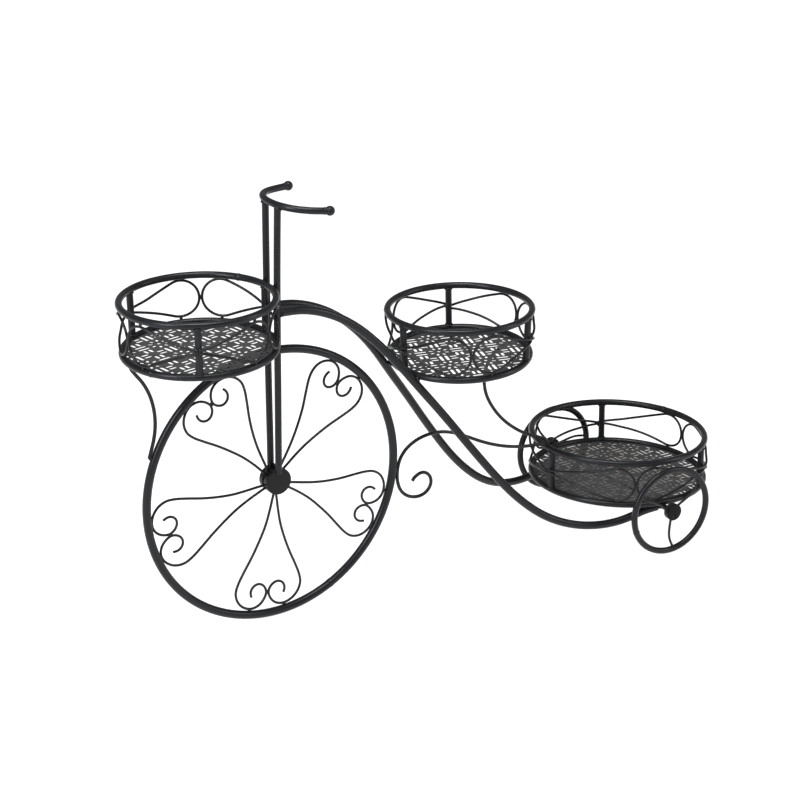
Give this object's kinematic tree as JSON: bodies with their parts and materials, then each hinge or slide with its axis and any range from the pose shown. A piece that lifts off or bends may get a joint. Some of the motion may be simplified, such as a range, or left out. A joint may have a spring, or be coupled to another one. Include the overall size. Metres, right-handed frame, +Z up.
{
  "type": "bicycle plant stand",
  "caption": "Free-standing plant stand shaped as a bicycle, in welded steel tube and wire, with round pot baskets over its wheels and frame and turning rear wheels.",
  "frame": {"origin": "on the floor, under the middle of the stand's outline", "axes": "+Z up, -X towards the front wheel (the way the bicycle faces), -Y towards its left side"},
  "size_m": [0.8722, 0.2906, 0.5616],
  "materials": {
    "tube_paint": "satin black powder coat",
    "wire_paint": "satin black powder coat",
    "plate_paint": "matt black powder coat on punched sheet"
  },
  "bodies": {
    "frame": {"front_wheel_rim": "tube_paint", "front_wheel_heart_1": "wire_paint", "front_wheel_heart_2": "wire_paint", "front_wheel_heart_3": "wire_paint", "front_wheel_heart_4": "wire_paint", "front_wheel_heart_5": "wire_paint", "front_hub_drum": "tube_paint", "front_hub_disc_left": "tube_paint", "front_hub_disc_right": "tube_paint", "fork_tube_left": "tube_paint", "fork_tube_right": "tube_paint", "handlebar": "tube_paint", "handlebar_knob_left": "tube_paint", "handlebar_knob_right": "tube_paint", "frame_tube_left": "tube_paint", "frame_tube_right": "tube_paint", "front_basket_top_ring": "tube_paint", "front_basket_bottom_ring": "tube_paint", "front_basket_post_1": "tube_paint", "front_basket_post_2": "tube_paint", "front_basket_post_3": "tube_paint", "front_basket_scroll_pair_1": "wire_paint", "front_basket_scroll_pair_2": "wire_paint", "front_basket_scroll_pair_3": "wire_paint", "front_basket_tray": "plate_paint", "middle_basket_top_ring": "tube_paint", "middle_basket_bottom_ring": "tube_paint", "middle_basket_post_1": "tube_paint", "middle_basket_post_2": "tube_paint", "middle_basket_post_3": "tube_paint", "middle_basket_scroll_pair_1": "wire_paint", "middle_basket_scroll_pair_2": "wire_paint", "middle_basket_scroll_pair_3": "wire_paint", "middle_basket_tray": "plate_paint", "rear_basket_top_ring": "tube_paint", "rear_basket_bottom_ring": "tube_paint", "rear_basket_post_1": "tube_paint", "rear_basket_post_2": "tube_paint", "rear_basket_post_3": "tube_paint", "rear_basket_scroll_pair_1": "wire_paint", "rear_basket_scroll_pair_2": "wire_paint", "rear_basket_scroll_pair_3": "wire_paint", "rear_basket_tray": "plate_paint", "front_basket_brace": "wire_paint", "rear_scroll": "wire_paint", "middle_basket_support": "wire_paint", "rear_axle": "tube_paint", "rear_wheel_left_cap": "tube_paint", "rear_wheel_right_cap": "tube_paint"},
    "rear_wheel_left": {"rear_wheel_left_rim": "tube_paint", "rear_wheel_left_hub": "tube_paint", "rear_wheel_left_spoke_1": "wire_paint", "rear_wheel_left_spoke_2": "wire_paint", "rear_wheel_left_spoke_3": "wire_paint"},
    "rear_wheel_right": {"rear_wheel_right_rim": "tube_paint", "rear_wheel_right_hub": "tube_paint", "rear_wheel_right_spoke_1": "wire_paint", "rear_wheel_right_spoke_2": "wire_paint", "rear_wheel_right_spoke_3": "wire_paint"}
  },
  "joints": [
    {"name": "rear_wheel_left_spin", "type": "hinge", "parent": "frame", "child": "rear_wheel_left", "pos_m": [0.29909, -0.1358, 0.06299], "axis": [0, 1, 0], "continuous": true},
    {"name": "rear_wheel_right_spin", "type": "hinge", "parent": "frame", "child": "rear_wheel_right", "pos_m": [0.29909, 0.1358, 0.06299], "axis": [0, 1, 0], "continuous": true}
  ]
}
